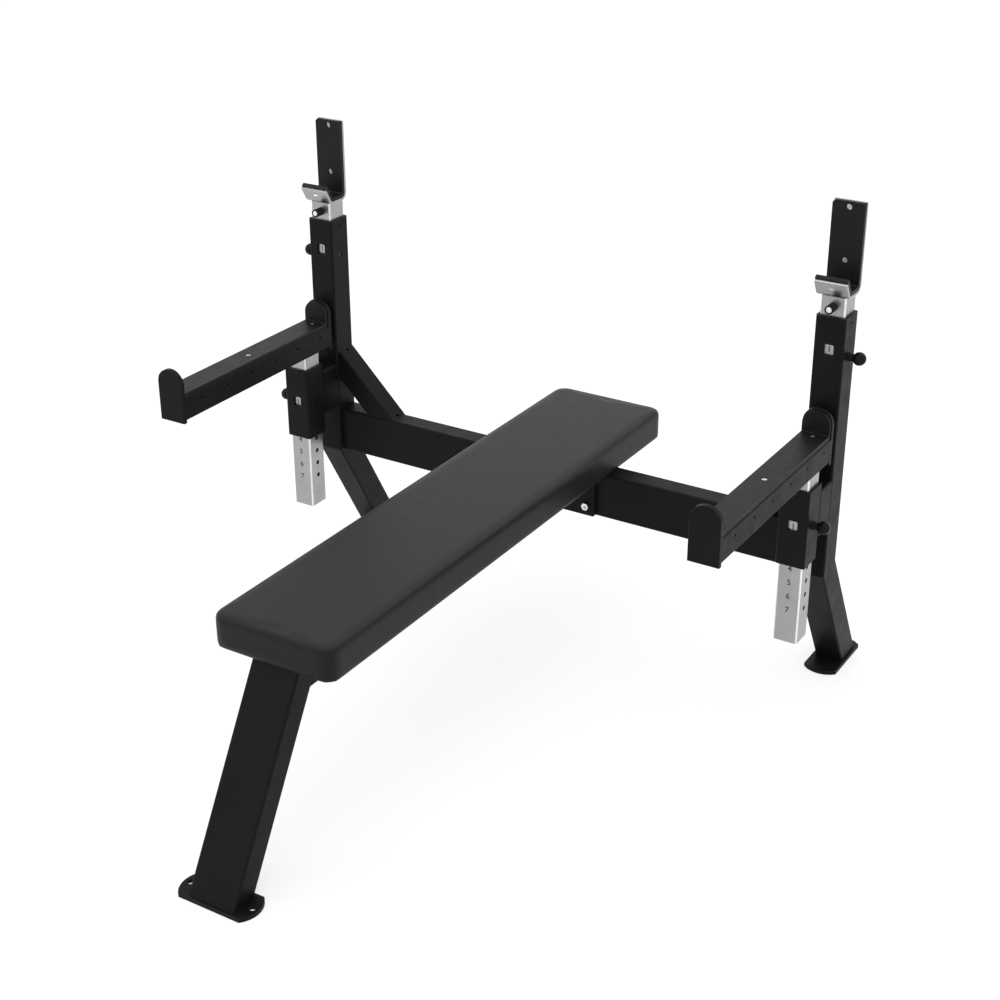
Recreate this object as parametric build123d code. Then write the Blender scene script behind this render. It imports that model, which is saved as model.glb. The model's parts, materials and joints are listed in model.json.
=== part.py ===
from build123d import *
import os
from math import cos, radians, sin, tan

# Olympic bench press with height-adjustable bar hooks and spotter arms.
# Millimetres. +X to the lifter's left, +Y towards the uprights, +Z up.
# The origin is on the floor, halfway between the front foot's edge and the pad's rear end.

# Overall length, from the front foot's edge to the pad's rear end
OVERALL_LENGTH = 1413.0
FRONT_FOOT_Y = -OVERALL_LENGTH / 2
PAD_REAR_Y = OVERALL_LENGTH / 2

# Crossbeam, spine and front leg: one 100 x 50 tube
BEAM_WIDTH = 100.0
BEAM_DEPTH = 50.0
BEAM_WALL = 3.0
BEAM_CORNER = 5.0
BEAM_TOP = 376.0
BEAM_FRONT_Y = PAD_REAR_Y - 245.0
BEAM_REAR_Y = BEAM_FRONT_Y + BEAM_DEPTH
BEAM_BOTTOM = BEAM_TOP - BEAM_WIDTH
SPINE_BOTTOM = BEAM_TOP - BEAM_DEPTH
LEG_SLANT = 30.0

# Uprights, rear legs and sleeves: 60 x 60 tube
TUBE = 60.0
TUBE_WALL = 3.0
TUBE_CORNER = 4.0
LEAST_INNER_CORNER = 1.0
UPRIGHT_X = 586.0
UPRIGHT_Y = BEAM_FRONT_Y + 20.0
UPRIGHT_TOP = 814.0
SLEEVE_Y = BEAM_FRONT_Y - 92.0
SLEEVE_BOTTOM = 346.0
SLEEVE_LENGTH = 160.0
SLEEVE_TOP = SLEEVE_BOTTOM + SLEEVE_LENGTH
CONNECTOR_BOTTOM = 388.0
CONNECTOR_HEIGHT = 100.0

# Diagonal brace between upright and crossbeam
BRACE = 50.0
BRACE_RISE = 140.0
BRACE_HOLE_R = 3.5
BRACE_HOLE_INSET = 4.5

# Adjustable posts: 50 x 50 tube with seven pin positions
POST = 50.0
POST_WALL = 3.0
POST_CORNER = 4.0
POSITIONS = 7
PITCH = 30.0
TRAVEL = PITCH * (POSITIONS - 1)
POST_END = 70.0
HOOK_PIN_Z = 732.0
ARM_PIN_Z = 428.0
PIN_R = 5.0
PIN_BORE_R = 5.06
WINDOW = (20.0, 22.0)
WINDOW_CORNER = 3.0
HOOK_WINDOW_Z = 749.0
ARM_WINDOW_Z = ARM_PIN_Z + 3.0

# Bushings between posts and tubes
BUSH_GAP = 0.25
BUSH_CORNER = 3.0
BUSH_LENGTH = 50.0
BUSH_LOW_LENGTH = 30.0
BUSH_SCREW_R = 3.2
BUSH_SCREW_GAP = 0.05
BUSH_SCREW_SINK = 1.8
HOOK_SCREW_SINK = 3.0
ARM_SCREW_SINK = 1.0
SCREW_BORE_R = 5.8
SCREW_SOCKET_R = 2.25
SCREW_SOCKET_DEPTH = 1.8
SCREW_END_GAP = 0.5
LIP_SCREW_SINK = 0.6
BUSH_SCREW_DROP = 14.0
SLEEVE_SCREW_DROP = 8.0

# Locking pins
PIN_TIP_SINK = 1.8
PIN_TIP_ROUND = 0.8
HOUSING_R = 9.0
HOUSING_LENGTH = 8.0
KNOB_R = 13.0
KNOB_X = UPRIGHT_X + 51.0
KNOB_NECK_R = 7.0

# Floor plates
PLATE = 8.0
FOOT_WIDTH = 70.0
FOOT_BOW = 15.0
FRONT_FOOT_STRAIGHT = 132.0
REAR_FOOT_STRAIGHT = 128.0
FLOOR_HOLE_R = 6.5
PLATE_CHAMFER = 0.8
FLOOR_HOLE_INSET = 13.0
FRONT_LEG_SETBACK = 3.0
REAR_FOOT_Y = BEAM_FRONT_Y + 241.0

# Pad
PAD_WIDTH = 260.0
PAD_LENGTH = 1210.0
PAD_THICK = 65.0
PAD_CORNER = 25.0
PAD_TOP_EDGE = 10.0
PAD_BOTTOM_EDGE = 4.0
PAD_Y = PAD_REAR_Y - PAD_LENGTH / 2
BOARD_THICK = 15.0
BOARD_MARGIN = 10.0
PAD_SCREW_R = 4.0
PAD_SCREW_GAP = 0.4
PAD_SCREW_HEAD_R = 7.5
PAD_SCREW_HEAD = 5.5
PAD_SCREW_X = 30.0
PAD_SCREW_BITE = 12.0
SPINE_SCREW_YS = (PAD_Y - 350.0, PAD_Y + 150.0)

# Spine end plate and its bolts
END_PLATE = (200.0, 100.0, 8.0)
END_BOLT_X = 80.5
END_BOLT_Z = 28.5
END_BOLT_R = 5.0
END_BOLT_GAP = 0.5
END_BOLT_TAIL = 4.0
END_PLATE_CORNER = 4.0
END_BOLT_SOCKET_R = 4.2
END_BOLT_SOCKET_DEPTH = 4.5
HEX_R = 8.5
HEX_HEIGHT = 7.0

# Rear pad bracket, a bent strip on the back of the crossbeam
BRACKET_WIDTH = 120.0
BRACKET_THICK = 5.0
BRACKET_DROP = 60.0
BRACKET_REACH = 130.0
BRACKET_BEND = 6.0
BRACKET_SCREW_Y = BEAM_REAR_Y + 95.0

# Bar hooks
HOOK_WIDTH = 64.0
HOOK_PLATE = 5.0
HOOK_LINER = 8.0
HOOK_BACK_Y = UPRIGHT_Y + 22.0
HOOK_TOP = 1022.0
HOOK_SEAT = 857.0
HOOK_LIP_FOOT_Y = UPRIGHT_Y - 26.0
HOOK_LIP_RISE = 30.0
HOOK_LIP_LEAN = 30.0
HOOK_BACK_BEND = 12.0
HOOK_LIP_BEND = 9.0
HOOK_LINER_LIP = 3.0
HOOK_CHAMFER = 5.0
HOOK_SCREW_ZS = (1011.0, 910.0)
SCREW_HEAD_R = 5.0
SCREW_HEAD = 2.6
SCREW_R = 2.5
STUD_Z = 832.0
STUD_R = 5.5
STUD_REACH = 21.0
STUD_CHAMFER = 1.0
STUD_SLEEVE_R = 8.5
STUD_SLEEVE_GAP = 1.0

# Spotter arms
ARM_WIDTH = 60.0
ARM_HEIGHT = 50.0
ARM_BOTTOM = 535.0
ARM_TOP = ARM_BOTTOM + ARM_HEIGHT
ARM_REAR_Y = BEAM_FRONT_Y - 35.0
ARM_FRONT_Y = BEAM_FRONT_Y - 510.0
ARM_PLATE = 10.0
ARM_PLATE_BOTTOM = 530.0
ARM_PLATE_TOP = 641.0
ARM_STRIP = 7.0
ARM_STRIP_WIDTH = 56.0
ARM_STRIP_BEND = ARM_STRIP + 2.0
ARM_STOP_ROUND = ARM_STRIP_WIDTH / 2 - 1.0
ARM_STOP_TOP = 638.0
ARM_HOLE_PITCH = 78.5
ARM_HOLE_COUNT = 6
ARM_HOLE_FIRST_Y = ARM_REAR_Y - 32.0
ARM_HOLE_Z = 568.0
ARM_HOLE_R = 3.0
ARM_SCREW_YS = (ARM_REAR_Y - 19.0, ARM_REAR_Y - 240.0, ARM_REAR_Y - 461.0)


def tube(width, depth, length, wall, corner):
    """Rectangular tube standing on the XY plane, centred on Z."""
    ring = RectangleRounded(width, depth, corner)
    ring -= RectangleRounded(width - 2 * wall, depth - 2 * wall, max(corner - wall, LEAST_INNER_CORNER))
    return extrude(ring, amount=length)


def upper_half(shape, point, normal):
    """The part of a shape on the side that the normal points to."""
    return split(shape, bisect_by=Plane(origin=point, z_dir=normal), keep=Keep.TOP)


def cross_hole(radius, length, x, y, z):
    """A cylinder along X, to cut or to keep."""
    return Pos(x, y, z) * Rot(0, 90, 0) * Cylinder(radius, length)


def front_hole(radius, length, x, y, z):
    """A cylinder along Y, to cut or to keep."""
    return Pos(x, y, z) * Rot(90, 0, 0) * Cylinder(radius, length)


def offset_points(points, distance):
    """Points of an open polyline moved sideways to the left of its direction."""
    moved = []
    for i, point in enumerate(points):
        before = (point - points[i - 1]).normalized() if i else (points[1] - point).normalized()
        after = (points[i + 1] - point).normalized() if i + 1 < len(points) else before
        normal_a = Vector(-before.Y, before.X)
        normal_b = Vector(-after.Y, after.X)
        bisector = (normal_a + normal_b).normalized()
        moved.append(point + bisector * (distance / bisector.dot(normal_a)))
    return moved


def bent_strip(points, bends, thickness, width):
    """Bent plate: a line in Y and Z given thickness to its left, and width along X."""
    far = offset_points(points, thickness)
    turns = []
    for a, b, c in zip(points, points[1:], points[2:]):
        turns.append((b - a).cross(c - b).Z > 0)
    far_bends = [bend - thickness if left else bend + thickness for bend, left in zip(bends, turns)]
    near_line = FilletPolyline(*points, radius=bends)
    far_line = FilletPolyline(*far, radius=far_bends)
    ends = [Line(points[0], far[0]), Line(points[-1], far[-1])]
    profile = make_face(near_line.edges() + far_line.edges() + ends)
    return extrude(Plane.YZ * profile, amount=width / 2, both=True)


def crossbeam():
    beam = Rot(0, 90, 0) * tube(BEAM_WIDTH, BEAM_DEPTH, 2 * UPRIGHT_X - TUBE, BEAM_WALL, BEAM_CORNER)
    beam = Pos(-UPRIGHT_X + TUBE / 2, BEAM_FRONT_Y + BEAM_DEPTH / 2, BEAM_TOP - BEAM_WIDTH / 2) * beam
    for x, z in end_bolt_places():
        beam -= front_hole(END_BOLT_R + END_BOLT_GAP, 2 * BEAM_DEPTH, x, BEAM_REAR_Y, z)
    return beam


def end_bolt_places():
    middle = BEAM_TOP - BEAM_WIDTH / 2
    return [(x, middle + z) for x in (-END_BOLT_X, END_BOLT_X) for z in (-END_BOLT_Z, END_BOLT_Z)]


def spine_elbow():
    """Outer and inner corner of the mitre between spine and front leg."""
    slant = tan(radians(LEG_SLANT))
    leg_foot_y = FRONT_FOOT_Y + FRONT_LEG_SETBACK
    outer = Vector(0, leg_foot_y + BEAM_TOP * slant, BEAM_TOP)
    leg_back_y = leg_foot_y + BEAM_DEPTH / cos(radians(LEG_SLANT))
    inner = Vector(0, leg_back_y + SPINE_BOTTOM * slant, SPINE_BOTTOM)
    return outer, inner


def spine():
    outer, inner = spine_elbow()
    end_y = BEAM_FRONT_Y - END_PLATE[2]
    bar = Rot(-90, 0, 0) * tube(BEAM_WIDTH, BEAM_DEPTH, end_y - outer.Y, BEAM_WALL, BEAM_CORNER)
    bar = Pos(0, outer.Y, BEAM_TOP - BEAM_DEPTH / 2) * bar
    along = (inner - outer).normalized()
    bar = upper_half(bar, outer, Vector(1, 0, 0).cross(along))
    for x, y in spine_screw_places():
        bar -= Pos(x, y, BEAM_TOP - BEAM_DEPTH / 2) * Cylinder(PAD_SCREW_R + PAD_SCREW_GAP, 2 * BEAM_DEPTH)
    return bar


def front_leg():
    outer, inner = spine_elbow()
    middle = (outer + inner) * 0.5
    length = 3 * BEAM_TOP
    bar = Pos(0, 0, -length / 2) * tube(BEAM_WIDTH, BEAM_DEPTH, length, BEAM_WALL, BEAM_CORNER)
    bar = Pos(middle) * Rot(-LEG_SLANT, 0, 0) * bar
    along = (inner - outer).normalized()
    bar = upper_half(bar, outer, Vector(1, 0, 0).cross(along) * -1)
    return upper_half(bar, Vector(0, 0, PLATE), Vector(0, 0, 1))


def floor_plate(straight, holes):
    """Plate along X with bowed ends, its lower face on the floor."""
    half_x = straight / 2
    half_y = FOOT_WIDTH / 2
    corners = [(-half_x, -half_y), (half_x, -half_y), (half_x, half_y), (-half_x, half_y)]
    right = ThreePointArc(corners[1], (half_x + FOOT_BOW, 0), corners[2])
    left = ThreePointArc(corners[3], (-half_x - FOOT_BOW, 0), corners[0])
    outline = make_face([Line(corners[0], corners[1]), right, Line(corners[2], corners[3]), left])
    plate = extrude(outline, amount=PLATE)
    for x in holes:
        plate -= Pos(x, 0, PLATE / 2) * Cylinder(FLOOR_HOLE_R, 2 * PLATE)
    top = plate.faces().sort_by(Axis.Z)[-1]
    return chamfer(top.outer_wire().edges(), PLATE_CHAMFER)


def front_foot():
    hole_x = FRONT_FOOT_STRAIGHT / 2 + FOOT_BOW - FLOOR_HOLE_INSET
    return Pos(0, FRONT_FOOT_Y + FOOT_WIDTH / 2, 0) * floor_plate(FRONT_FOOT_STRAIGHT, (-hole_x, hole_x))


def rear_foot():
    half = REAR_FOOT_STRAIGHT / 2 + FOOT_BOW
    plate = Rot(0, 0, 90) * floor_plate(REAR_FOOT_STRAIGHT, (FLOOR_HOLE_INSET - half,))
    return Pos(UPRIGHT_X, REAR_FOOT_Y - half, 0) * plate


def knee():
    """A point and the upward normal of the mitre between upright and rear leg."""
    half_slant = radians(LEG_SLANT / 2)
    middle = Vector(UPRIGHT_X, UPRIGHT_Y, BEAM_BOTTOM + TUBE / 2 * tan(half_slant))
    return middle, Vector(0, -sin(half_slant), cos(half_slant))


def window_cutter(y, z):
    """Rounded window through the front wall of a tube whose axis is at y."""
    block = extrude(RectangleRounded(*WINDOW, WINDOW_CORNER), amount=2 * TUBE_WALL, both=True)
    return Pos(UPRIGHT_X, y - TUBE / 2, z) * Rot(90, 0, 0) * block


def upright():
    middle, normal = knee()
    bar = Pos(UPRIGHT_X, UPRIGHT_Y, 0) * tube(TUBE, TUBE, UPRIGHT_TOP, TUBE_WALL, TUBE_CORNER)
    bar = upper_half(bar, middle, normal)
    bar -= window_cutter(UPRIGHT_Y, HOOK_WINDOW_Z)
    bar -= cross_hole(PIN_BORE_R, 2 * TUBE, UPRIGHT_X, UPRIGHT_Y, HOOK_PIN_Z)
    bar -= cross_hole(BUSH_SCREW_R, 2 * TUBE, UPRIGHT_X, UPRIGHT_Y, UPRIGHT_TOP - BUSH_SCREW_DROP)
    return bar


def rear_leg():
    middle, normal = knee()
    length = 2 * BEAM_TOP
    bar = Pos(0, 0, -length / 2) * tube(TUBE, TUBE, length, TUBE_WALL, TUBE_CORNER)
    bar = Pos(middle) * Rot(LEG_SLANT, 0, 0) * bar
    bar = upper_half(bar, middle, normal * -1)
    return upper_half(bar, Vector(0, 0, PLATE), Vector(0, 0, 1))


def brace():
    """Square tube at 45 degrees from the crossbeam's top up to the upright's inner face."""
    upright_face = UPRIGHT_X - TUBE / 2
    length = 3 * BRACE_RISE
    bar = Pos(0, 0, -length / 2) * tube(BRACE, BRACE, length, BEAM_WALL, TUBE_CORNER)
    shift = BRACE / 2 * cos(radians(45))
    centre_x = upright_face - BRACE_RISE / 2 + shift
    centre_z = BEAM_TOP + BRACE_RISE / 2 - shift
    bar = Pos(centre_x, BEAM_FRONT_Y + BEAM_DEPTH / 2, centre_z) * Rot(0, 45, 0) * bar
    bar = upper_half(bar, Vector(0, 0, BEAM_TOP), Vector(0, 0, 1))
    bar = upper_half(bar, Vector(upright_face, 0, 0), Vector(-1, 0, 0))
    for inset in (BRACE_HOLE_INSET, BRACE_RISE - BRACE_HOLE_INSET):
        drill = Rot(0, -45, 0) * Cylinder(BRACE_HOLE_R, BRACE / 2)
        bar -= Pos(upright_face - inset, BEAM_FRONT_Y + BEAM_DEPTH / 2, BEAM_TOP + BRACE_RISE - inset) * drill
    return bar


def sleeve():
    bar = Pos(UPRIGHT_X, SLEEVE_Y, SLEEVE_BOTTOM) * tube(TUBE, TUBE, SLEEVE_LENGTH, TUBE_WALL, TUBE_CORNER)
    bar -= window_cutter(SLEEVE_Y, ARM_WINDOW_Z)
    bar -= cross_hole(PIN_BORE_R, 2 * TUBE, UPRIGHT_X, SLEEVE_Y, ARM_PIN_Z)
    screw_z = SLEEVE_TOP - SLEEVE_SCREW_DROP
    return bar - front_hole(BUSH_SCREW_R, 2 * TUBE_WALL, UPRIGHT_X, SLEEVE_Y - TUBE / 2, screw_z)


def sleeve_connector():
    front = SLEEVE_Y + TUBE / 2
    back = UPRIGHT_Y - TUBE / 2
    bar = Rot(-90, 0, 0) * tube(TUBE, CONNECTOR_HEIGHT, back - front, TUBE_WALL, TUBE_CORNER)
    return Pos(UPRIGHT_X, front, CONNECTOR_BOTTOM + CONNECTOR_HEIGHT / 2) * bar


def bushing(y, bottom, length):
    outer = TUBE - 2 * TUBE_WALL
    inner = POST + 2 * BUSH_GAP
    return Pos(UPRIGHT_X, y, bottom) * tube(outer, outer, length, (outer - inner) / 2, BUSH_CORNER)


def bushings():
    """Guides at the top and lower down in the upright, and at both ends of the sleeve."""
    upright_low = HOOK_PIN_Z - PITCH / 2 - BUSH_LOW_LENGTH
    return [
        bushing(UPRIGHT_Y, UPRIGHT_TOP - BUSH_LENGTH, BUSH_LENGTH),
        bushing(UPRIGHT_Y, upright_low, BUSH_LOW_LENGTH),
        bushing(SLEEVE_Y, SLEEVE_TOP - BUSH_LENGTH, BUSH_LENGTH),
        bushing(SLEEVE_Y, SLEEVE_BOTTOM, BUSH_LENGTH),
    ]


def bushing_screws():
    """Short set screws through the tube walls into the upper bushings."""
    radius = BUSH_SCREW_R - BUSH_SCREW_GAP
    length = TUBE_WALL - BUSH_SCREW_SINK
    reach = TUBE / 2 - TUBE_WALL + length / 2
    screws = []
    for side in (-1, 1):
        z = UPRIGHT_TOP - BUSH_SCREW_DROP
        screws.append(cross_hole(radius, length, UPRIGHT_X + side * reach, UPRIGHT_Y, z))
    z = SLEEVE_TOP - SLEEVE_SCREW_DROP
    screws.append(front_hole(radius, length, UPRIGHT_X, SLEEVE_Y - reach, z))
    return screws


def pin_housing(y, z):
    """Collar outside the tube that guides a locking pin."""
    start = UPRIGHT_X + TUBE / 2
    profile = [(0, start), (HOUSING_R, start), (KNOB_NECK_R, start + HOUSING_LENGTH)]
    profile.append((0, start + HOUSING_LENGTH))
    body = revolve(make_face(Polyline(*profile, close=True)), axis=Axis.Y)
    body = Pos(0, y, z) * Rot(0, 0, -90) * body
    return body - cross_hole(PIN_BORE_R, 4 * HOUSING_LENGTH, start, y, z)


def locking_pin(y, z):
    """Pin from inside the far wall into the knob, its tip rounded."""
    tip = UPRIGHT_X - TUBE / 2 + PIN_TIP_SINK
    length = KNOB_X - tip
    rod = Cylinder(PIN_R, length)
    rod = fillet(rod.edges().sort_by(Axis.Z)[0], PIN_TIP_ROUND)
    return Pos(tip + length / 2, y, z) * Rot(0, 90, 0) * rod


def pin_knob(y, z):
    """Ball with a short neck that stops against the housing."""
    start = UPRIGHT_X + TUBE / 2 + HOUSING_LENGTH
    neck = cross_hole(KNOB_NECK_R, KNOB_X - start, (KNOB_X + start) / 2, y, z)
    ball = Pos(KNOB_X, y, z) * Sphere(KNOB_R) + neck
    reach = KNOB_X - start
    return ball - cross_hole(PIN_R, reach, KNOB_X - reach / 2, y, z)


def post(y, top, pin_z):
    """Square post with a row of cross holes, the first at pin_z and the rest below."""
    bottom = pin_z - TRAVEL - POST_END
    bar = Pos(UPRIGHT_X, y, bottom) * tube(POST, POST, top - bottom, POST_WALL, POST_CORNER)
    for step in range(POSITIONS):
        bar -= cross_hole(PIN_BORE_R, 2 * POST, UPRIGHT_X, y, pin_z - step * PITCH)
    return bar


def hook_line():
    """Inner line of the bent hook plate: back, seat and leaning lip."""
    lip_y = HOOK_LIP_FOOT_Y - HOOK_LIP_RISE * tan(radians(HOOK_LIP_LEAN))
    return [
        Vector(lip_y, HOOK_SEAT + HOOK_LIP_RISE),
        Vector(HOOK_LIP_FOOT_Y, HOOK_SEAT),
        Vector(HOOK_BACK_Y, HOOK_SEAT),
        Vector(HOOK_BACK_Y, HOOK_TOP),
    ]


def lip_screw_frame():
    """Place on the lip's inner line, with the screw axis pointing out of the seat."""
    line = hook_line()
    middle = (line[0] + line[1]) * 0.5
    return Pos(UPRIGHT_X, middle.X, middle.Y) * Rot(90 - HOOK_LIP_LEAN, 0, 0)


def screw(length):
    """Countersunk screw along -Z, its flat head at the origin."""
    head = Pos(0, 0, -SCREW_HEAD / 2) * Cone(SCREW_R, SCREW_HEAD_R, SCREW_HEAD)
    shank = Pos(0, 0, -length / 2) * Cylinder(SCREW_R, length)
    socket = extrude(RegularPolygon(SCREW_SOCKET_R, 6), amount=-SCREW_SOCKET_DEPTH)
    return head + shank - socket


def hook_screw_places():
    """Two screws from the front through the liner, and one through the lip."""
    front = HOOK_BACK_Y - HOOK_LINER + HOOK_SCREW_SINK
    places = [Pos(UPRIGHT_X, front, z) * Rot(90, 0, 0) for z in HOOK_SCREW_ZS]
    places.append(lip_screw_frame() * Pos(0, 0, HOOK_PLATE - LIP_SCREW_SINK))
    return places


def hook_screws():
    length = HOOK_LINER + HOOK_PLATE - HOOK_SCREW_SINK - SCREW_END_GAP
    return [place * screw(length) for place in hook_screw_places()]


def without_screws(shape, places, length):
    """The shape with a stepped hole for each screw, whose head sits below the surface."""
    for place in places:
        shape -= place * Pos(0, 0, HOOK_SCREW_SINK / 2) * Cylinder(SCREW_BORE_R, HOOK_SCREW_SINK)
        shape -= place * Pos(0, 0, -SCREW_HEAD / 2) * Cone(SCREW_R, SCREW_HEAD_R, SCREW_HEAD)
        shape -= place * Pos(0, 0, -length / 2) * Cylinder(SCREW_R, length)
    return shape


def hook_plate():
    outer_bends = [HOOK_LIP_BEND, HOOK_BACK_BEND]
    plate = bent_strip(hook_line(), outer_bends, -HOOK_PLATE, HOOK_WIDTH)
    plate = Pos(UPRIGHT_X, 0, 0) * plate
    return without_screws(plate, hook_screw_places(), HOOK_LINER + HOOK_PLATE)


def hook_liner():
    line = hook_line()
    lip_way = (line[0] - line[1]).normalized()
    line[0] += lip_way * HOOK_LINER_LIP
    bends = [HOOK_LIP_BEND, HOOK_BACK_BEND]
    liner = bent_strip(line, bends, HOOK_LINER, HOOK_WIDTH)
    corners = liner.edges().filter_by(Axis.Y).group_by(Axis.Z)[-1]
    liner = chamfer(corners, HOOK_CHAMFER)
    return without_screws(Pos(UPRIGHT_X, 0, 0) * liner, hook_screw_places(), HOOK_LINER + HOOK_PLATE)


def hook_post():
    bar = post(UPRIGHT_Y, HOOK_SEAT - HOOK_PLATE, HOOK_PIN_Z)
    return bar - front_hole(STUD_R, 2 * POST_WALL, UPRIGHT_X, UPRIGHT_Y - POST / 2, STUD_Z)


def lift_stud():
    back = UPRIGHT_Y - POST / 2 + POST_WALL
    length = STUD_REACH + POST_WALL
    stud = Cylinder(STUD_R, length)
    stud = chamfer(stud.edges().sort_by(Axis.Z)[-1], STUD_CHAMFER)
    return Pos(UPRIGHT_X, back - length / 2, STUD_Z) * Rot(90, 0, 0) * stud


def lift_sleeve():
    length = STUD_REACH - STUD_SLEEVE_GAP
    ring = Cylinder(STUD_SLEEVE_R, length) - Cylinder(STUD_R, length)
    return Pos(UPRIGHT_X, UPRIGHT_Y - POST / 2 - length / 2, STUD_Z) * Rot(90, 0, 0) * ring


def arm_post():
    return post(SLEEVE_Y, ARM_BOTTOM, ARM_PIN_Z)


def arm_screw_places():
    return [Pos(UPRIGHT_X, y, ARM_TOP + ARM_STRIP - ARM_SCREW_SINK) for y in ARM_SCREW_YS]


def arm_beam():
    bar = Rot(-90, 0, 0) * tube(ARM_WIDTH, ARM_HEIGHT, ARM_REAR_Y - ARM_FRONT_Y, TUBE_WALL, TUBE_CORNER)
    bar = Pos(UPRIGHT_X, ARM_FRONT_Y, ARM_BOTTOM + ARM_HEIGHT / 2) * bar
    for step in range(ARM_HOLE_COUNT):
        y = ARM_HOLE_FIRST_Y - step * ARM_HOLE_PITCH
        bar -= cross_hole(ARM_HOLE_R, 2 * ARM_WIDTH, UPRIGHT_X, y, ARM_HOLE_Z)
    return without_screws(bar, arm_screw_places(), ARM_STRIP + TUBE_WALL)


def arm_end_plate(front_y):
    """Plate across the end of the arm, with a half-round top."""
    half = ARM_WIDTH / 2
    height = ARM_PLATE_TOP - half - ARM_PLATE_BOTTOM
    outline = Pos(0, height / 2) * Rectangle(ARM_WIDTH, height) + Pos(0, height) * Circle(half)
    plate = extrude(Plane.XZ * outline, amount=-ARM_PLATE)
    plate = Pos(UPRIGHT_X, front_y, ARM_PLATE_BOTTOM) * plate
    rims = plate.faces().filter_by(Axis.Y).edges()
    return chamfer(rims, PLATE_CHAMFER)


def arm_liner():
    """Wear strip along the top of the arm, turned up against the rear plate."""
    line = [
        Vector(ARM_FRONT_Y, ARM_TOP),
        Vector(ARM_REAR_Y, ARM_TOP),
        Vector(ARM_REAR_Y, ARM_STOP_TOP),
    ]
    liner = bent_strip(line, [ARM_STRIP_BEND], ARM_STRIP, ARM_STRIP_WIDTH)
    corners = liner.edges().filter_by(Axis.Y).group_by(Axis.Z)[-1]
    liner = fillet(corners, ARM_STOP_ROUND)
    liner = Pos(UPRIGHT_X, 0, 0) * liner
    return without_screws(liner, arm_screw_places(), ARM_STRIP + TUBE_WALL)


def arm_screws():
    return [place * screw(ARM_STRIP + TUBE_WALL - ARM_SCREW_SINK) for place in arm_screw_places()]


def pad_board():
    width = PAD_WIDTH - 2 * BOARD_MARGIN
    length = PAD_LENGTH - 2 * BOARD_MARGIN
    sheet = extrude(RectangleRounded(width, length, PAD_CORNER - BOARD_MARGIN), amount=BOARD_THICK)
    sheet = Pos(0, PAD_Y, BEAM_TOP) * sheet
    return drill_pad(sheet)


def spine_screw_places():
    return [(x, y) for y in SPINE_SCREW_YS for x in (-PAD_SCREW_X, PAD_SCREW_X)]


def bracket_screw_places():
    return [(x, BRACKET_SCREW_Y) for x in (-PAD_SCREW_X, PAD_SCREW_X)]


def drill_pad(shape):
    for x, y in spine_screw_places() + bracket_screw_places():
        shape -= Pos(x, y, BEAM_TOP) * Cylinder(PAD_SCREW_R, 2 * PAD_SCREW_BITE)
    return shape


def pad_cushion():
    block = extrude(RectangleRounded(PAD_WIDTH, PAD_LENGTH, PAD_CORNER), amount=PAD_THICK)
    block = fillet(block.faces().sort_by(Axis.Z)[-1].edges(), PAD_TOP_EDGE)
    block = fillet(block.faces().sort_by(Axis.Z)[0].edges(), PAD_BOTTOM_EDGE)
    block = Pos(0, PAD_Y, BEAM_TOP) * block
    width = PAD_WIDTH - 2 * BOARD_MARGIN
    length = PAD_LENGTH - 2 * BOARD_MARGIN
    pocket = extrude(RectangleRounded(width, length, PAD_CORNER - BOARD_MARGIN), amount=BOARD_THICK)
    return block - Pos(0, PAD_Y, BEAM_TOP) * pocket


def hex_head(radius, height):
    return extrude(RegularPolygon(radius, 6), amount=height)


def socket_head():
    """Hex head with a hexagonal recess in its outer face."""
    recess = hex_head(END_BOLT_SOCKET_R, END_BOLT_SOCKET_DEPTH)
    return hex_head(HEX_R, HEX_HEIGHT) - Pos(0, 0, HEX_HEIGHT - END_BOLT_SOCKET_DEPTH) * recess


def pad_screws():
    """Long screws through the spine and short ones through the rear bracket."""
    screws = []
    for places, under in ((spine_screw_places(), SPINE_BOTTOM),
                          (bracket_screw_places(), BEAM_TOP - BRACKET_THICK)):
        for x, y in places:
            length = BEAM_TOP + PAD_SCREW_BITE - under
            shank = Pos(0, 0, length / 2) * Cylinder(PAD_SCREW_R, length)
            head = Pos(0, 0, -PAD_SCREW_HEAD) * hex_head(PAD_SCREW_HEAD_R, PAD_SCREW_HEAD)
            screws.append(Pos(x, y, under) * (shank + head))
    return screws


def end_plate():
    width, height, thick = END_PLATE
    plate = Pos(0, BEAM_FRONT_Y - thick / 2, BEAM_TOP - height / 2) * Box(width, thick, height)
    plate = fillet(plate.edges().filter_by(Axis.Y), END_PLATE_CORNER)
    for x, z in end_bolt_places():
        plate -= front_hole(END_BOLT_R + END_BOLT_GAP, 4 * thick, x, BEAM_FRONT_Y, z)
    return plate


def spine_bolts():
    """Hex bolts through the end plate and the crossbeam."""
    length = BEAM_DEPTH + END_PLATE[2] + HEX_HEIGHT + END_BOLT_TAIL
    head_y = BEAM_FRONT_Y - END_PLATE[2]
    bolts = []
    for x, z in end_bolt_places():
        shank = Pos(x, head_y + length / 2, z) * Rot(90, 0, 0) * Cylinder(END_BOLT_R, length)
        head = Pos(x, head_y, z) * Rot(90, 0, 0) * socket_head()
        bolts.append(shank + head)
    return bolts


def spine_nuts():
    nuts = []
    for x, z in end_bolt_places():
        blank = hex_head(HEX_R, HEX_HEIGHT) - Cylinder(END_BOLT_R, 4 * HEX_HEIGHT)
        nuts.append(Pos(x, BEAM_REAR_Y, z) * Rot(-90, 0, 0) * blank)
    return nuts


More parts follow.
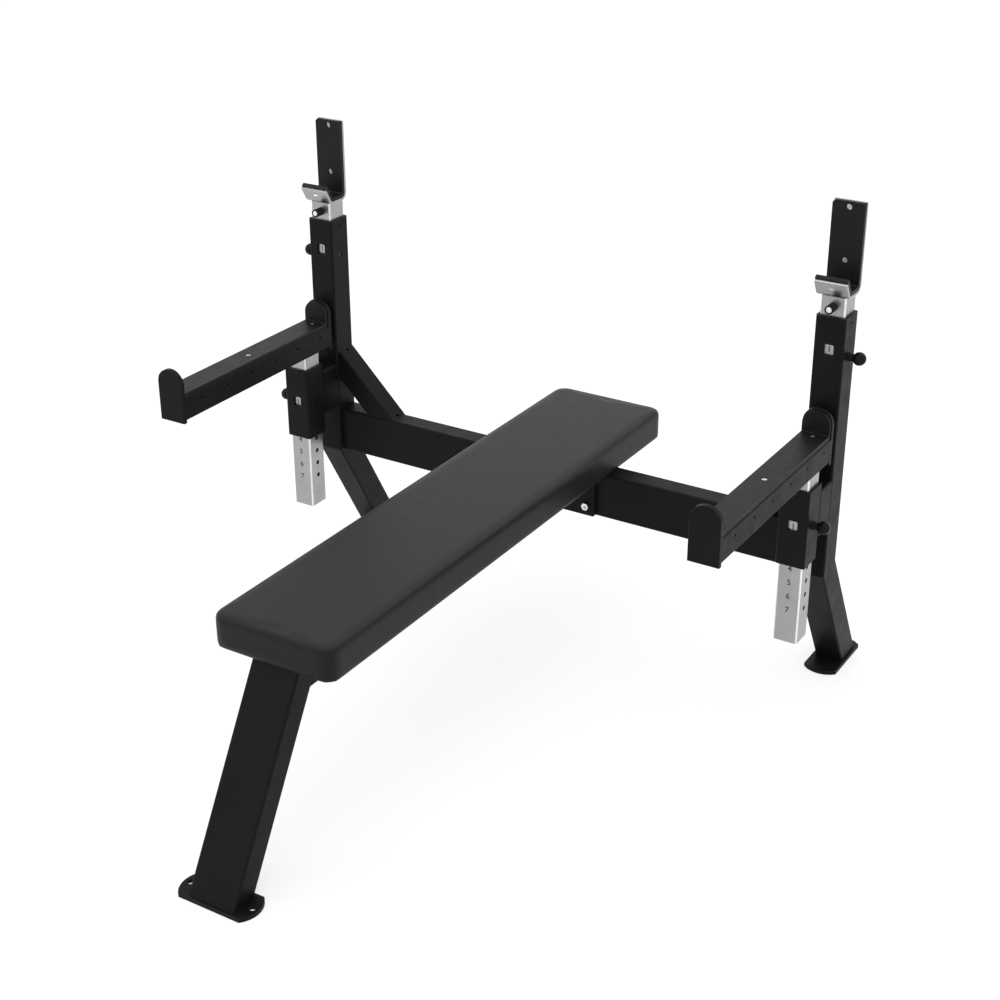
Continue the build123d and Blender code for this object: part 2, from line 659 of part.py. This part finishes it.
def pad_bracket():
    line = [
        Vector(BEAM_REAR_Y, BEAM_TOP - BRACKET_DROP),
        Vector(BEAM_REAR_Y, BEAM_TOP),
        Vector(BEAM_REAR_Y + BRACKET_REACH, BEAM_TOP),
    ]
    strip = bent_strip(line, [BRACKET_BEND + BRACKET_THICK], -BRACKET_THICK, BRACKET_WIDTH)
    for x, y in bracket_screw_places():
        strip -= Pos(x, y, BEAM_TOP) * Cylinder(PAD_SCREW_R + PAD_SCREW_GAP, 4 * BRACKET_THICK)
    return strip


def save(name, shape):
    if isinstance(shape, list):
        shape = Compound(shape)
    export_step(shape, f"parts/{name}.step")


MIDDLE_PARTS = {
    "pad_cushion": pad_cushion(),
    "pad_board": pad_board(),
    "pad_screws": pad_screws(),
    "pad_rear_bracket": pad_bracket(),
    "spine_tube": spine(),
    "spine_end_plate": end_plate(),
    "spine_bolts": spine_bolts(),
    "spine_nuts": spine_nuts(),
    "front_leg_tube": front_leg(),
    "front_foot_plate": front_foot(),
    "crossbeam_tube": crossbeam(),
}

SIDE_PARTS = {
    "upright_tube": upright(),
    "rear_leg_tube": rear_leg(),
    "rear_foot_plate": rear_foot(),
    "brace_tube": brace(),
    "sleeve_tube": sleeve(),
    "sleeve_connector": sleeve_connector(),
    "post_bushings": bushings(),
    "hook_post": hook_post(),
    "hook_plate": hook_plate(),
    "hook_liner": hook_liner(),
    "hook_screws": hook_screws(),
    "lift_stud": lift_stud(),
    "lift_stud_sleeve": lift_sleeve(),
    "hook_pin": locking_pin(UPRIGHT_Y, HOOK_PIN_Z),
    "hook_pin_knob": pin_knob(UPRIGHT_Y, HOOK_PIN_Z),
    "arm_post": arm_post(),
    "arm_beam": arm_beam(),
    "arm_front_plate": arm_end_plate(ARM_FRONT_Y - ARM_PLATE),
    "arm_rear_plate": arm_end_plate(ARM_REAR_Y),
    "arm_liner": arm_liner(),
    "arm_screws": arm_screws(),
    "arm_pin": locking_pin(SLEEVE_Y, ARM_PIN_Z),
    "arm_pin_knob": pin_knob(SLEEVE_Y, ARM_PIN_Z),
}

# Small parts that are the same on both sides share one node
SHARED_PARTS = {
    "pin_housings": [pin_housing(UPRIGHT_Y, HOOK_PIN_Z), pin_housing(SLEEVE_Y, ARM_PIN_Z)],
    "bushing_screws": bushing_screws(),
}


def mirrored(shape):
    if isinstance(shape, list):
        return [mirrored(piece) for piece in shape]
    return mirror(shape, about=Plane.YZ)


os.makedirs("parts", exist_ok=True)
for name, shape in MIDDLE_PARTS.items():
    save(name, shape)
for name, shape in SIDE_PARTS.items():
    save(f"right_{name}", shape)
    save(f"left_{name}", mirrored(shape))
for name, shapes in SHARED_PARTS.items():
    save(name, shapes + mirrored(shapes))
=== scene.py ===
import json
import math

import bmesh
import bpy
from mathutils import Euler, Matrix, Vector


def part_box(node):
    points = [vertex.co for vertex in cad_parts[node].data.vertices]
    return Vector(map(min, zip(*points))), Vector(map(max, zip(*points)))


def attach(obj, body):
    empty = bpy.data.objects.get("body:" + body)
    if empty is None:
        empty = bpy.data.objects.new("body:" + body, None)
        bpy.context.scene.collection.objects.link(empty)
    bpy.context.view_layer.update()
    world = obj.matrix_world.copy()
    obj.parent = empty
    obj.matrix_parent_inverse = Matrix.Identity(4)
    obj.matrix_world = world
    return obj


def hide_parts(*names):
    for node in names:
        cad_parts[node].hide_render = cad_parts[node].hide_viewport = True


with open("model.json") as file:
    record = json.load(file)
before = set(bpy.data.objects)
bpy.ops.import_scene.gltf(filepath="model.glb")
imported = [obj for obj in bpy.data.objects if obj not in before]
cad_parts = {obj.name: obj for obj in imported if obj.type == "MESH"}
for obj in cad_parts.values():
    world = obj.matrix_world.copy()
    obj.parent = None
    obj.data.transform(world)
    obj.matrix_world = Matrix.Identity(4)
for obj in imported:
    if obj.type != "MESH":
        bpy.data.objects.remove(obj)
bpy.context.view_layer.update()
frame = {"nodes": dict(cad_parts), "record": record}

# Everything below is in metres, in the part's frame: +X right, +Y towards the pad's rear, +Z up.
SIDES = {"right": 1, "left": -1}
MM = 0.001

# Camera
CAMERA_PLACE = Vector((1.674, -2.470, 1.931))
CAMERA_AZIMUTH = math.radians(31.71)
CAMERA_ELEVATION = math.radians(25.97)
CAMERA_ROLL = math.radians(-0.17)
CAMERA_LENS = 63.35
SENSOR_WIDTH = 36.0

# Studio
FLOOR_SIDE = 60.0
FLOOR_GREY = 0.30
FLOOR_GLOW = 0.67
SKY_STRENGTH = 1.24
LIT_POINT = (0, 0.2, 0.4)
SOFTBOXES = {
    "top_box": {"place": (0.2, 0.4, 3.6), "size": (3.2, 3.2), "power": 30},
    "left_box": {"place": (-2.8, -2.2, 2.2), "size": (1.2, 2.4), "power": 24},
}

# Pad: a skin that starts just inside the CAD solid, is blown out by the foam and hemmed under the board
SKIN_INSET = 1.5 * MM
SKIN_MASS = 0.3
SKIN_STIFFNESS = 15
SKIN_BENDING = 0.5
SKIN_VOXEL = 6 * MM
SKIN_SWELL = 1.6 * MM
SKIN_SMOOTHING = 3
SMOOTHING_FACTOR = 0.5
SKIN_SUBDIVISION = 1
HEM_WIDTH = 28 * MM
HEM_THICKNESS = 0.6 * MM
FOAM_PRESSURE = 4.0
FOAM_FRAMES = 20
CLOTH_QUALITY = 5
EDGE_ROUND = 7 * MM
EDGE_STEPS = 6
CORNER_ROUND = 25 * MM
CORNER_STEPS = 8
UNDERSIDE_ROUND_IN = 1.5 * MM
UNDERSIDE_ROUND_UP = 2 * MM
UNDERSIDE_BAND = 3 * MM
HELD_BAND = 4 * MM
BOARD_GAP = 0.6 * MM

# Printed numbers on the posts
HOLE_PITCH = 30 * MM
HOLE_COUNT = 7
DIGIT_SIZE = 17 * MM
INK_THICKNESS = 0.12 * MM
INK_BOLDNESS = 0.3 * MM
HOOK_WINDOW_RISE = 17 * MM
DIGIT_STEPS = 4
WELD_DISTANCE = 1e-6

# Materials
EDGE_SAMPLES = 3


# ---------------------------------------------------------------- material nodes

class Shader:
    """A Principled material with short calls for the procedural nodes that all the finishes share.

    Texture scales count features per metre.
    """

    def __init__(self, name, **sockets):
        self.material = bpy.data.materials.new(name)
        self.material.use_nodes = True
        self.nodes = self.material.node_tree.nodes
        self.links = self.material.node_tree.links
        self.surface = self.nodes["Principled BSDF"]
        self.place = self.nodes.new("ShaderNodeTexCoord").outputs["Object"]
        for socket, value in sockets.items():
            self.surface.inputs[socket.replace("_", " ")].default_value = value

    def stretched(self, scale):
        """The object's own coordinates, stretched by three factors."""
        mapping = self.nodes.new("ShaderNodeMapping")
        mapping.inputs["Scale"].default_value = scale
        self.links.new(self.place, mapping.inputs["Vector"])
        return mapping.outputs["Vector"]

    def noise(self, scale, detail=3.0, place=None):
        noise = self.nodes.new("ShaderNodeTexNoise")
        noise.inputs["Scale"].default_value = scale
        noise.inputs["Detail"].default_value = detail
        self.links.new(place or self.place, noise.inputs["Vector"])
        return noise.outputs["Fac"]

    def cells(self, scale, feature="F1"):
        cells = self.nodes.new("ShaderNodeTexVoronoi")
        cells.feature = feature
        cells.inputs["Scale"].default_value = scale
        self.links.new(self.place, cells.inputs["Vector"])
        return cells.outputs["Distance"]

    def spread(self, value, low, high, start=0.3, end=0.7):
        """value, taken from start..end to low..high."""
        spread = self.nodes.new("ShaderNodeMapRange")
        spread.inputs["From Min"].default_value = start
        spread.inputs["From Max"].default_value = end
        spread.inputs["To Min"].default_value = low
        spread.inputs["To Max"].default_value = high
        self.links.new(value, spread.inputs["Value"])
        return spread.outputs["Result"]

    def maths(self, operation, first, second):
        node = self.nodes.new("ShaderNodeMath")
        node.operation = operation
        for socket, value in zip(node.inputs, (first, second)):
            if isinstance(value, (int, float)):
                socket.default_value = value
            else:
                self.links.new(value, socket)
        return node.outputs["Value"]

    def mixed(self, factor, first, second):
        """One colour where factor is 0 and the other where it is 1; either may be a socket."""
        mix = self.nodes.new("ShaderNodeMix")
        mix.data_type = "RGBA"
        self.links.new(factor, mix.inputs["Factor"])
        for socket, value in ((mix.inputs[6], first), (mix.inputs[7], second)):
            if isinstance(value, tuple):
                socket.default_value = (*value, 1.0)
            else:
                self.links.new(value, socket)
        return mix.outputs[2]

    def edges(self, radius, start=0.02, end=0.25):
        """1 on outside and inside corners, 0 on flat faces."""
        bevel = self.nodes.new("ShaderNodeBevel")
        bevel.samples = EDGE_SAMPLES
        bevel.inputs["Radius"].default_value = radius
        flat = self.nodes.new("ShaderNodeNewGeometry")
        turn = self.nodes.new("ShaderNodeVectorMath")
        turn.operation = "DOT_PRODUCT"
        self.links.new(bevel.outputs["Normal"], turn.inputs[0])
        self.links.new(flat.outputs["Normal"], turn.inputs[1])
        return self.spread(turn.outputs["Value"], 1.0, 0.0, 1.0 - end, 1.0 - start)

    def rounded_corners(self, start=0.12, end=0.42):
        """1 on the upright corners of a square tube, 0 on its flat faces."""
        facing = self.nodes.new("ShaderNodeNewGeometry").outputs["Normal"]
        split = self.nodes.new("ShaderNodeSeparateXYZ")
        self.links.new(facing, split.inputs["Vector"])
        across = self.maths("MULTIPLY", split.outputs["X"], split.outputs["Y"])
        return self.spread(self.maths("ABSOLUTE", across, 0.0), 0.0, 1.0, start, end)

    def bumped(self, height, depth, strength=1.0):
        bump = self.nodes.new("ShaderNodeBump")
        bump.inputs["Strength"].default_value = strength
        bump.inputs["Distance"].default_value = depth
        self.links.new(height, bump.inputs["Height"])
        self.links.new(bump.outputs["Normal"], self.surface.inputs["Normal"])

    def coloured(self, colour):
        self.links.new(colour, self.surface.inputs["Base Color"])

    def rough(self, value):
        self.links.new(value, self.surface.inputs["Roughness"])


def grey(level, warmth=0.0):
    return (level * (1 + warmth), level, level * (1 - warmth))


def powder_coat():
    """Satin black powder coat: orange peel, fine pigment grain, lighter where the corners are rubbed."""
    s = Shader("powder_coat", IOR=1.18)
    clouds = s.noise(9, 4)
    pigment = s.noise(420, 2)
    coat = s.mixed(s.spread(clouds, 0, 1), grey(0.0030), grey(0.0046))
    speckled = s.mixed(s.spread(pigment, 0, 0.35), coat, grey(0.009))
    lightened_edges = s.maths("MULTIPLY", s.edges(1.6 * MM), s.spread(s.noise(70), 0.15, 0.8))
    s.coloured(s.mixed(lightened_edges, speckled, grey(0.030)))
    matt = s.spread(s.noise(26), 0.40, 0.50)
    s.rough(s.maths("SUBTRACT", matt, s.maths("MULTIPLY", lightened_edges, 0.12)))
    peel = s.maths("ADD", s.noise(330, 2), s.maths("MULTIPLY", s.noise(1500, 1), 0.35))
    s.bumped(peel, 0.10 * MM, 0.35)
    return s.material


def satin_steel(name, level, grain, roughness, corner_highlight=False):
    """Plated steel with a drawn grain, and a painted highlight in the base colour along its edges (along
    the upright tube corners instead with the corner flag): grain holds the stretch of the noise, small
    along the lines.
    """
    s = Shader(name, Metallic=1.0)
    lines = s.noise(1, 3, s.stretched(grain))
    clouds = s.noise(16, 4)
    plate = s.mixed(s.spread(clouds, 0, 1), grey(level * 0.90, 0.004), grey(level * 1.06, -0.004))
    lined = s.mixed(s.spread(lines, 0, 0.22), plate, grey(level * 0.72))
    # Painted highlight: the base colour goes pale on the posts' upright corners, and on all edges for
    # the other steel, in place of the bright reflection along them.
    corners = s.rounded_corners() if corner_highlight else s.edges(1.5 * MM)
    lightened_edges = s.maths("MULTIPLY", corners, s.spread(s.noise(90), 0.7, 1.0))
    s.coloured(s.mixed(lightened_edges, lined, grey(0.92)))
    clouded = s.spread(clouds, roughness - 0.03, roughness + 0.04)
    s.rough(s.maths("ADD", s.spread(lines, -0.05, 0.06), clouded))
    s.bumped(lines, 0.03 * MM, 0.3)
    return s.material


def turned_steel(name, level, roughness):
    """Zinc-plated or ground small parts: a fine even grain and slight clouding."""
    s = Shader(name, Metallic=1.0)
    clouds = s.noise(120, 4)
    grain = s.noise(1800, 2)
    s.coloured(s.mixed(s.spread(clouds, 0, 1), grey(level * 0.85, 0.01), grey(level, -0.01)))
    s.rough(s.spread(grain, roughness - 0.04, roughness + 0.06))
    s.bumped(grain, 0.02 * MM, 0.25)
    return s.material


def wear_plastic(name, level, roughness):
    """Milled black polyethylene: waxy, with faint scuffs along its length and pale rubbed corners."""
    s = Shader(name, IOR=1.24)
    scuffs = s.noise(1, 4, s.stretched((240, 26, 240)))
    clouds = s.noise(30, 4)
    body = s.mixed(s.spread(clouds, 0, 1), grey(level * 0.8), grey(level * 1.25))
    scuffed = s.mixed(s.spread(scuffs, 0, 0.5, 0.55, 0.8), body, grey(level * 2.4))
    lightened_edges = s.maths("MULTIPLY", s.edges(1.2 * MM), s.spread(s.noise(110), 0.2, 0.9))
    s.coloured(s.mixed(lightened_edges, scuffed, grey(level * 4)))
    s.rough(s.spread(scuffs, roughness - 0.06, roughness + 0.08))
    s.bumped(s.maths("ADD", scuffs, s.noise(900, 2)), 0.05 * MM, 0.4)
    return s.material


def glossy_plastic():
    """Moulded black ball knobs: deep gloss with a slight waviness and hairline scuffs."""
    s = Shader("glossy_plastic", IOR=1.18)
    waves = s.noise(60, 2)
    scuffs = s.noise(700, 3)
    s.coloured(s.mixed(s.spread(waves, 0, 1), grey(0.004), grey(0.008)))
    s.rough(s.spread(scuffs, 0.20, 0.32))
    s.bumped(waves, 0.15 * MM, 0.2)
    return s.material


def moulded_rubber():
    """Rubber sleeve: dull, with a fine pebbled skin."""
    s = Shader("moulded_rubber", IOR=1.25)
    pebbles = s.cells(1100)
    s.coloured(s.mixed(s.spread(s.noise(60), 0, 1), grey(0.006), grey(0.011)))
    s.rough(s.spread(pebbles, 0.62, 0.74, 0.0, 0.8))
    s.bumped(pebbles, 0.08 * MM, 0.4)
    return s.material


def upholstery_vinyl():
    """Black vinyl: fine leather grain in two sizes, faint creases and a slight sheen."""
    s = Shader("upholstery_vinyl", IOR=1.24, Sheen_Weight=0.02, Sheen_Roughness=0.5)
    grain = s.cells(620, "SMOOTH_F1")
    pores = s.cells(1500)
    creases = s.noise(38, 5)
    skin = s.mixed(s.spread(creases, 0, 1), grey(0.0052), grey(0.0060))
    s.coloured(s.mixed(s.spread(grain, 0, 0.5, 0.2, 0.7), skin, grey(0.010)))
    s.rough(s.maths("ADD", s.spread(creases, 0.38, 0.42), s.spread(grain, 0.0, 0.05, 0.0, 0.7)))
    height = s.maths("ADD", grain, s.maths("MULTIPLY", pores, 0.4))
    height = s.maths("ADD", height, s.maths("MULTIPLY", creases, 0.4))
    s.bumped(height, 0.09 * MM, 0.35)
    return s.material


def birch_plywood():
    """Raw birch ply: long grain lines on the faces and darker flecks."""
    s = Shader("birch_plywood", Specular_IOR_Level=0.3)
    grain = s.noise(1, 5, s.stretched((210, 7, 260)))
    flecks = s.noise(1, 2, s.stretched((900, 60, 900)))
    face = s.mixed(s.spread(grain, 0, 1), (0.42, 0.27, 0.14), (0.60, 0.42, 0.24))
    s.coloured(s.mixed(s.spread(flecks, 0, 0.5, 0.6, 0.8), face, (0.24, 0.13, 0.06)))
    s.rough(s.spread(grain, 0.55, 0.72))
    s.bumped(s.maths("ADD", grain, flecks), 0.12 * MM, 0.5)
    return s.material


def printed_ink():
    """Dark grey pad-printed ink, slightly uneven."""
    s = Shader("printed_ink", Specular_IOR_Level=0.3)
    s.coloured(s.mixed(s.spread(s.noise(500, 3), 0, 1), grey(0.030), grey(0.060)))
    s.rough(s.spread(s.noise(900, 2), 0.45, 0.6))
    s.bumped(s.noise(1400, 2), 0.02 * MM, 0.3)
    return s.material


UPRIGHT_GRAIN = (900, 900, 9)

FINISHES = {
    "frame_paint": powder_coat(),
    # The posts' upright corners get a painted highlight in their base colour.
    "post_steel": satin_steel("post_steel", 0.37, UPRIGHT_GRAIN, 0.30, corner_highlight=True),
    "hook_steel": satin_steel("hook_steel", 0.36, UPRIGHT_GRAIN, 0.28),
    "liner_plastic": wear_plastic("liner_plastic", 0.005, 0.46),
    "bushing_plastic": wear_plastic("bushing_plastic", 0.004, 0.52),
    "knob_plastic": glossy_plastic(),
    "grip_rubber": moulded_rubber(),
    "pin_steel": turned_steel("pin_steel", 0.06, 0.32),
    "fastener_steel": turned_steel("fastener_steel", 0.80, 0.24),
    "pad_vinyl": upholstery_vinyl(),
    "board_ply": birch_plywood(),
}
INK = printed_ink()


def dress_frame():
    """Each CAD node takes the finish of its material slot."""
    slot_of = {}
    for entry in frame["record"]["materials"]:
        for node in entry.get("nodes", []):
            slot_of[node] = entry["slot"]
    for name, node in frame["nodes"].items():
        for index, held in enumerate(node.data.materials):
            slot = slot_of.get(name) or (held.name.split(".")[0] if held else "frame_paint")
            node.data.materials[index] = FINISHES[slot]


# ---------------------------------------------------------------- shared mesh code

def new_piece(name, mesh, material):
    mesh.materials.clear()
    mesh.materials.append(material)
    piece = bpy.data.objects.new(name, mesh)
    bpy.context.scene.collection.objects.link(piece)
    return piece


def shaded_smooth(mesh):
    for face in mesh.polygons:
        face.use_smooth = True


def settled_mesh(piece):
    """The mesh of a piece with its modifiers worked in."""
    bpy.context.view_layer.update()
    shown = piece.evaluated_get(bpy.context.evaluated_depsgraph_get())
    return bpy.data.meshes.new_from_object(shown)


# ---------------------------------------------------------------- pad

def rounded_outline(half_x, low_y, high_y, radius):
    """Corner points of a rounded rectangle, anticlockwise."""
    centres = (
        (half_x - radius, high_y - radius, 0),
        (-half_x + radius, high_y - radius, 90),
        (-half_x + radius, low_y + radius, 180),
        (half_x - radius, low_y + radius, 270),
    )
    points = []
    for x, y, start in centres:
        for step in range(CORNER_STEPS + 1):
            angle = math.radians(start + 90 * step / CORNER_STEPS)
            points.append((x + radius * math.cos(angle), y + radius * math.sin(angle)))
    return points


def pad_start(low, high):
    """A closed block with rounded corners and a rounded top edge, a little inside the CAD solid."""
    half_x = high.x - SKIN_INSET
    low_y, high_y = low.y + SKIN_INSET, high.y - SKIN_INSET
    top = high.z - SKIN_INSET
    levels = [(low.z, UNDERSIDE_ROUND_IN), (low.z + UNDERSIDE_ROUND_UP, 0.0)]
    for step in range(EDGE_STEPS + 1):
        angle = math.radians(90 * step / EDGE_STEPS)
        shrink = EDGE_ROUND * (1 - math.cos(angle))
        levels.append((top - EDGE_ROUND + EDGE_ROUND * math.sin(angle), shrink))
    block = bmesh.new()
    rings = []
    for z, shrink in levels:
        ends = (low_y + shrink, high_y - shrink)
        outline = rounded_outline(half_x - shrink, *ends, CORNER_ROUND - shrink)
        rings.append([block.verts.new((x, y, z)) for x, y in outline])
    for lower, upper in zip(rings, rings[1:]):
        for i in range(len(lower)):
            j = (i + 1) % len(lower)
            block.faces.new((lower[i], lower[j], upper[j], upper[i]))
    block.faces.new(rings[0][::-1])
    block.faces.new(rings[-1])
    mesh = bpy.data.meshes.new("pad_start")
    block.to_mesh(mesh)
    block.free()
    return mesh


def inflate(piece, low):
    """Cloth simulation of the stuffed skin; its bottom, which rests on the board, stays where it is."""
    held = piece.vertex_groups.new(name="held")
    bottom = [v.index for v in piece.data.vertices if v.co.z < low.z + HELD_BAND]
    held.add(bottom, 1.0, "REPLACE")
    cloth = piece.modifiers.new("skin", "CLOTH")
    cloth.settings.quality = CLOTH_QUALITY
    cloth.settings.mass = SKIN_MASS
    cloth.settings.tension_stiffness = SKIN_STIFFNESS
    cloth.settings.compression_stiffness = SKIN_STIFFNESS
    cloth.settings.bending_stiffness = SKIN_BENDING
    cloth.settings.vertex_group_mass = "held"
    cloth.settings.use_pressure = True
    cloth.settings.uniform_pressure_force = FOAM_PRESSURE
    cloth.settings.effector_weights.gravity = 0
    cloth.point_cache.frame_start = 1
    cloth.point_cache.frame_end = FOAM_FRAMES
    for step in range(1, FOAM_FRAMES + 1):
        bpy.context.scene.frame_set(step)
    swollen = settled_mesh(piece)
    places = [v.co.copy() for v in swollen.vertices]
    piece.modifiers.remove(cloth)
    bpy.context.scene.frame_set(1)
    normals = [v.normal.copy() for v in piece.data.vertices]
    for vertex, place, normal in zip(piece.data.vertices, places, normals):
        outward = max(0.0, (place - vertex.co).dot(normal))
        vertex.co += normal * SKIN_SWELL * math.tanh(outward / SKIN_SWELL)


def pad():
    low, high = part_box("pad_cushion")
    board_low, board_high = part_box("pad_board")
    rough = new_piece("pad_rough", pad_start(low, high), FINISHES["pad_vinyl"])
    remesh = rough.modifiers.new("even", "REMESH")
    remesh.mode = "VOXEL"
    remesh.voxel_size = SKIN_VOXEL
    piece = new_piece("pad_upholstery", settled_mesh(rough), FINISHES["pad_vinyl"])
    bpy.data.objects.remove(rough)
    inflate(piece, low)
    for vertex in piece.data.vertices:
        if vertex.co.z < low.z + UNDERSIDE_BAND:
            across = abs(vertex.co.x) < board_high.x - HEM_WIDTH
            along = board_low.y + HEM_WIDTH < vertex.co.y < board_high.y - HEM_WIDTH
            vertex.co.z = board_high.z + BOARD_GAP if across and along else low.z - HEM_THICKNESS
    even = piece.modifiers.new("even", "SMOOTH")
    even.factor = SMOOTHING_FACTOR
    even.iterations = SKIN_SMOOTHING
    finer = piece.modifiers.new("finer", "SUBSURF")
    finer.levels = SKIN_SUBDIVISION
    finer.render_levels = SKIN_SUBDIVISION
    mesh = settled_mesh(piece)
    shaded_smooth(mesh)
    bpy.data.objects.remove(piece)
    piece = new_piece("pad_upholstery", mesh, FINISHES["pad_vinyl"])
    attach(piece, "frame")
    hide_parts("pad_cushion")


# ---------------------------------------------------------------- printed numbers

def digit_mesh(text):
    curve = bpy.data.curves.new("digit", "FONT")
    curve.body = text
    curve.size = DIGIT_SIZE
    curve.extrude = INK_THICKNESS
    curve.offset = INK_BOLDNESS
    curve.align_x = "CENTER"
    curve.align_y = "CENTER"
    curve.resolution_u = DIGIT_STEPS
    carrier = bpy.data.objects.new("digit", curve)
    bpy.context.scene.collection.objects.link(carrier)
    mesh = settled_mesh(carrier)
    bpy.data.objects.remove(carrier)
    return mesh


def numbers(name, body, top_place):
    """A column of digits down the front face of a post, one beside each pin hole, 1 at the top."""
    column = bmesh.new()
    for index in range(HOLE_COUNT):
        place = top_place - Vector((0, 0, HOLE_PITCH * index))
        mesh = digit_mesh(str(index + 1))
        mesh.transform(Matrix.Translation(place) @ Euler((math.radians(90), 0, 0)).to_matrix().to_4x4())
        column.from_mesh(mesh)
        bpy.data.meshes.remove(mesh)
    bmesh.ops.remove_doubles(column, verts=column.verts, dist=WELD_DISTANCE)
    mesh = bpy.data.meshes.new(name)
    column.to_mesh(mesh)
    column.free()
    piece = new_piece(name, mesh, INK)
    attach(piece, body)


def post_numbers():
    for side, sign in SIDES.items():
        for part in ("arm", "hook"):
            low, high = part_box(f"{side}_{part}_post")
            pin_low, pin_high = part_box(f"{side}_{part}_pin")
            height = (pin_low.z + pin_high.z) / 2
            if part == "hook":
                height += HOOK_WINDOW_RISE
            place = Vector(((low.x + high.x) / 2, low.y, height))
            numbers(f"{side}_{part}_numbers", f"{side}_{part}_carriage", place)


# ---------------------------------------------------------------- studio

def add_camera():
    data = bpy.data.cameras.new("camera")
    data.lens = CAMERA_LENS
    data.sensor_width = SENSOR_WIDTH
    camera = bpy.data.objects.new("camera", data)
    turn = Euler((math.pi / 2 - CAMERA_ELEVATION, 0, CAMERA_AZIMUTH)).to_matrix()
    roll = Matrix.Rotation(CAMERA_ROLL, 3, "Z")
    camera.matrix_world = Matrix.Translation(CAMERA_PLACE) @ (turn @ roll).to_4x4()
    bpy.context.scene.collection.objects.link(camera)
    bpy.context.scene.camera = camera


def add_floor():
    plane = bmesh.new()
    bmesh.ops.create_grid(plane, x_segments=1, y_segments=1, size=FLOOR_SIDE / 2)
    mesh = bpy.data.meshes.new("floor")
    plane.to_mesh(mesh)
    plane.free()
    s = Shader("floor_card", Roughness=0.9, Specular_IOR_Level=0.1)
    s.surface.inputs["Base Color"].default_value = (*grey(FLOOR_GREY), 1.0)
    s.surface.inputs["Emission Color"].default_value = (1.0, 1.0, 1.0, 1.0)
    s.surface.inputs["Emission Strength"].default_value = FLOOR_GLOW
    floor = new_piece("floor", mesh, s.material)


def add_sky():
    world = bpy.data.worlds.new("studio")
    world.use_nodes = True
    sky = world.node_tree.nodes["Background"]
    sky.inputs["Color"].default_value = (1.0, 1.0, 1.0, 1.0)
    sky.inputs["Strength"].default_value = SKY_STRENGTH
    bpy.context.scene.world = world


def add_softbox(name, place, size, power):
    data = bpy.data.lights.new(name, "AREA")
    data.shape = "RECTANGLE"
    data.size, data.size_y = size
    data.energy = power
    light = bpy.data.objects.new(name, data)
    light.location = place
    light.rotation_euler = (Vector(LIT_POINT) - Vector(place)).to_track_quat("-Z", "Y").to_euler()
    bpy.context.scene.collection.objects.link(light)


def studio():
    add_camera()
    add_floor()
    add_sky()
    for name, softbox in SOFTBOXES.items():
        add_softbox(name, **softbox)
    bpy.context.scene.view_settings.view_transform = "Standard"


dress_frame()
pad()
post_numbers()
studio()
